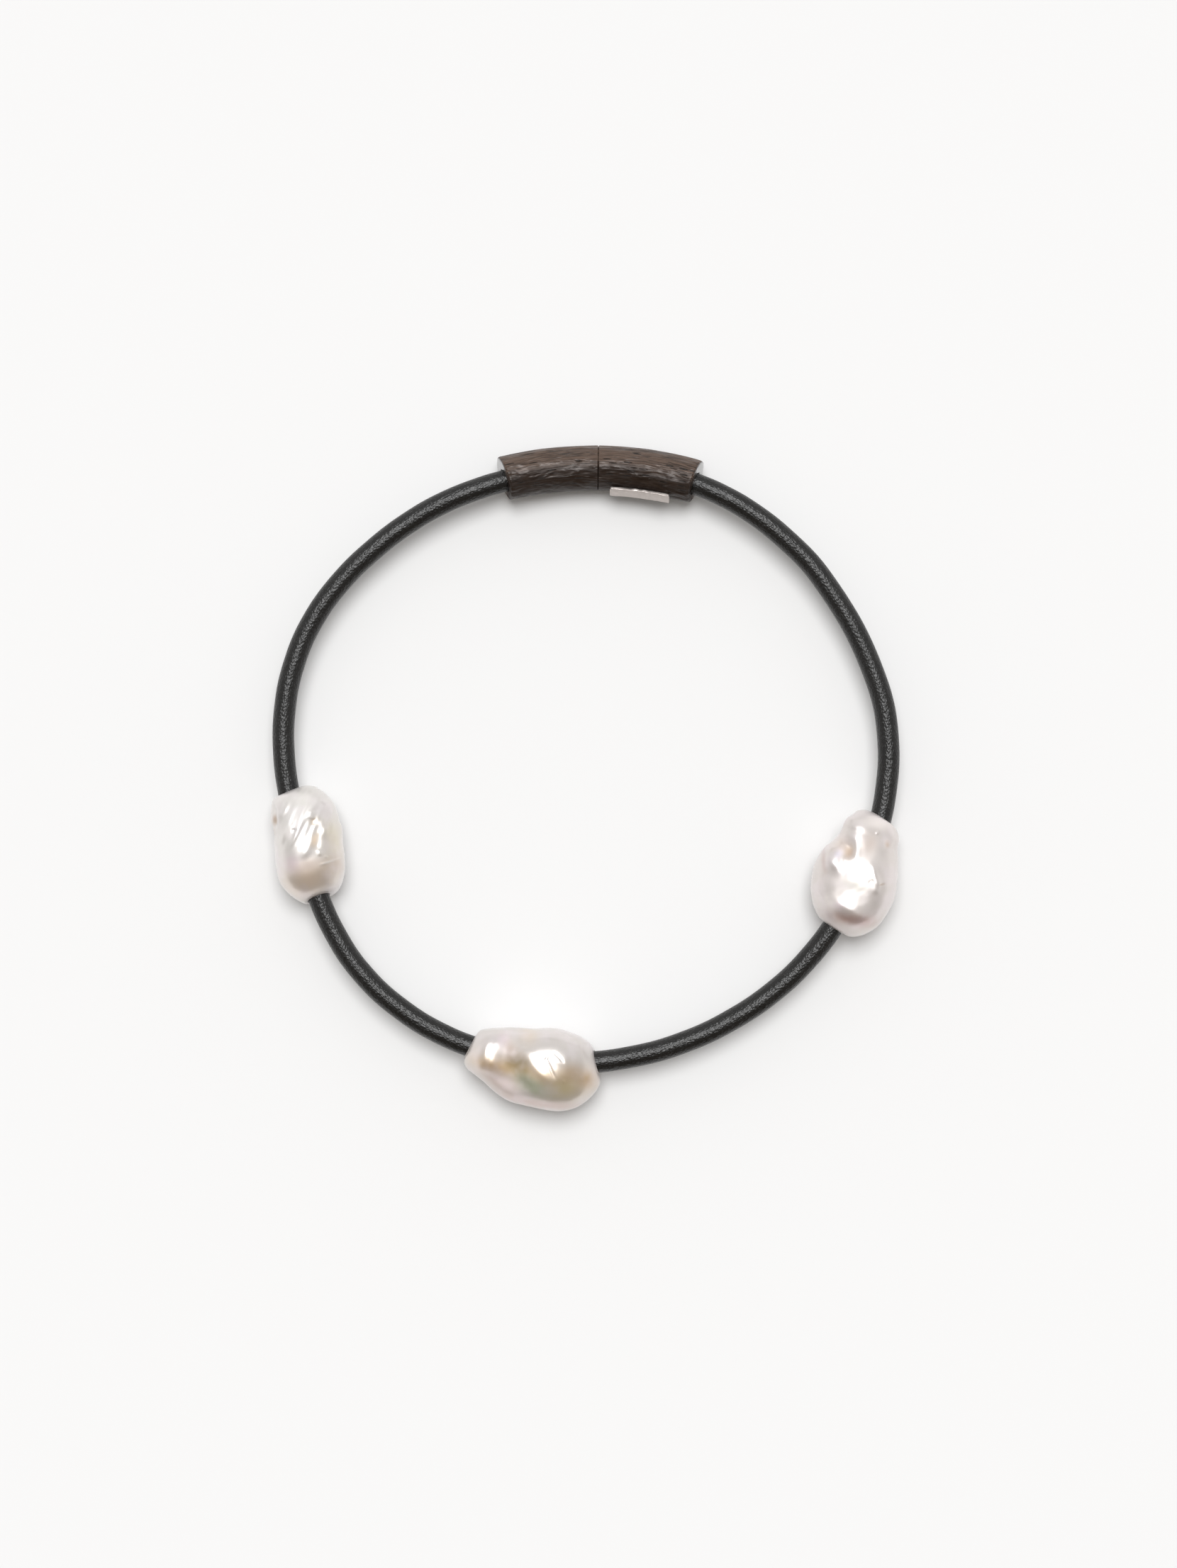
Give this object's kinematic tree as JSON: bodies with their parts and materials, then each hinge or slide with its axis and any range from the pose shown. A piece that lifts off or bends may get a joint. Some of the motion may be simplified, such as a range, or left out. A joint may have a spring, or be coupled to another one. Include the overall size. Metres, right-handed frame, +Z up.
{
  "type": "pearl leather necklace",
  "caption": "Ring-shaped collar of round black leather cord threaded through baroque pearls, closed by a curved wooden clasp with a small bare silver plate.",
  "frame": {"origin": "on the surface that the necklace lies on, under the middle of its bounding box", "axes": "+Z up from the surface through the ring; +Y towards the clasp, away from the wearer's front pearl; +X to the right as the ring is seen from above"},
  "size_m": [0.1492, 0.1584, 0.0183],
  "materials": {
    "leather": "black dyed round leather, finely cracked and grained, satin",
    "pearl": "white baroque nacre, wrinkled and glossy, with faint pink, green and gold lustre",
    "wood": "dark brown open-pored wood, oiled, satin",
    "silver": "satin silver"
  },
  "bodies": {
    "root": {"leather_cord": "leather", "pearl_left": "pearl", "pearl_front": "pearl", "pearl_right": "pearl", "clasp_left": "wood", "clasp_right": "wood", "clasp_pin": "silver", "tag_plate": "silver"}
  },
  "joints": []
}
